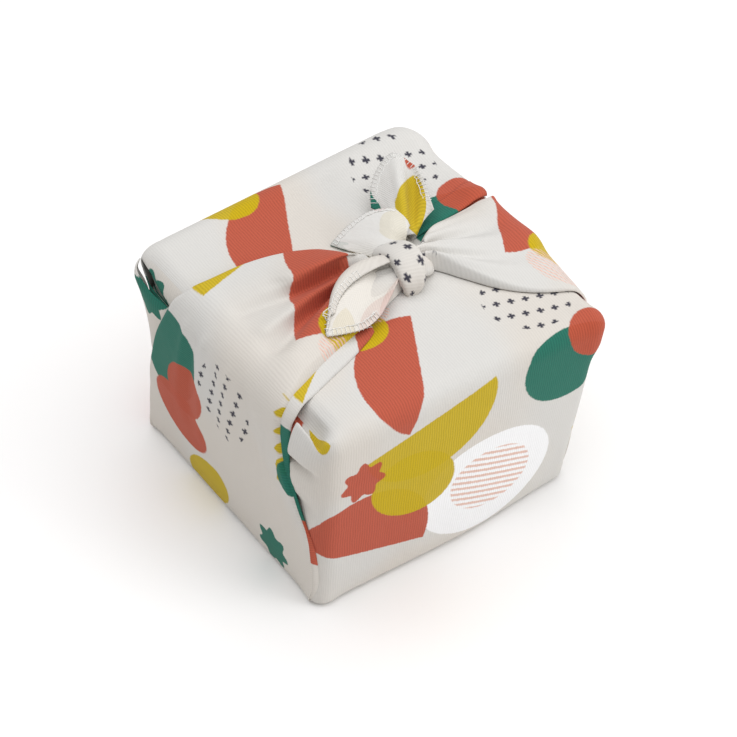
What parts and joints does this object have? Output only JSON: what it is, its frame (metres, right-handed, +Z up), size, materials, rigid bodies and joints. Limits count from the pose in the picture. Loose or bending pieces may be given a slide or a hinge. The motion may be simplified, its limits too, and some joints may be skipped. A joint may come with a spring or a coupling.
{
  "type": "furoshiki wrap",
  "caption": "Square cotton cloth folded round a box-shaped bundle, its two tied ends drawn over the top into a knot with loose leaf-like ends.",
  "frame": {"origin": "centre of the flat underside, on the surface that the bundle stands on", "axes": "+Z up; +X from the front tied end towards the back tied end, through the knot; +Y across the bundle"},
  "size_m": [0.1747, 0.1634, 0.1386],
  "materials": {
    "cotton": "matte printed cotton with a fine rib, soft and slightly fuzzy"
  },
  "bodies": {
    "root": {"cloth": "cotton"}
  },
  "joints": []
}
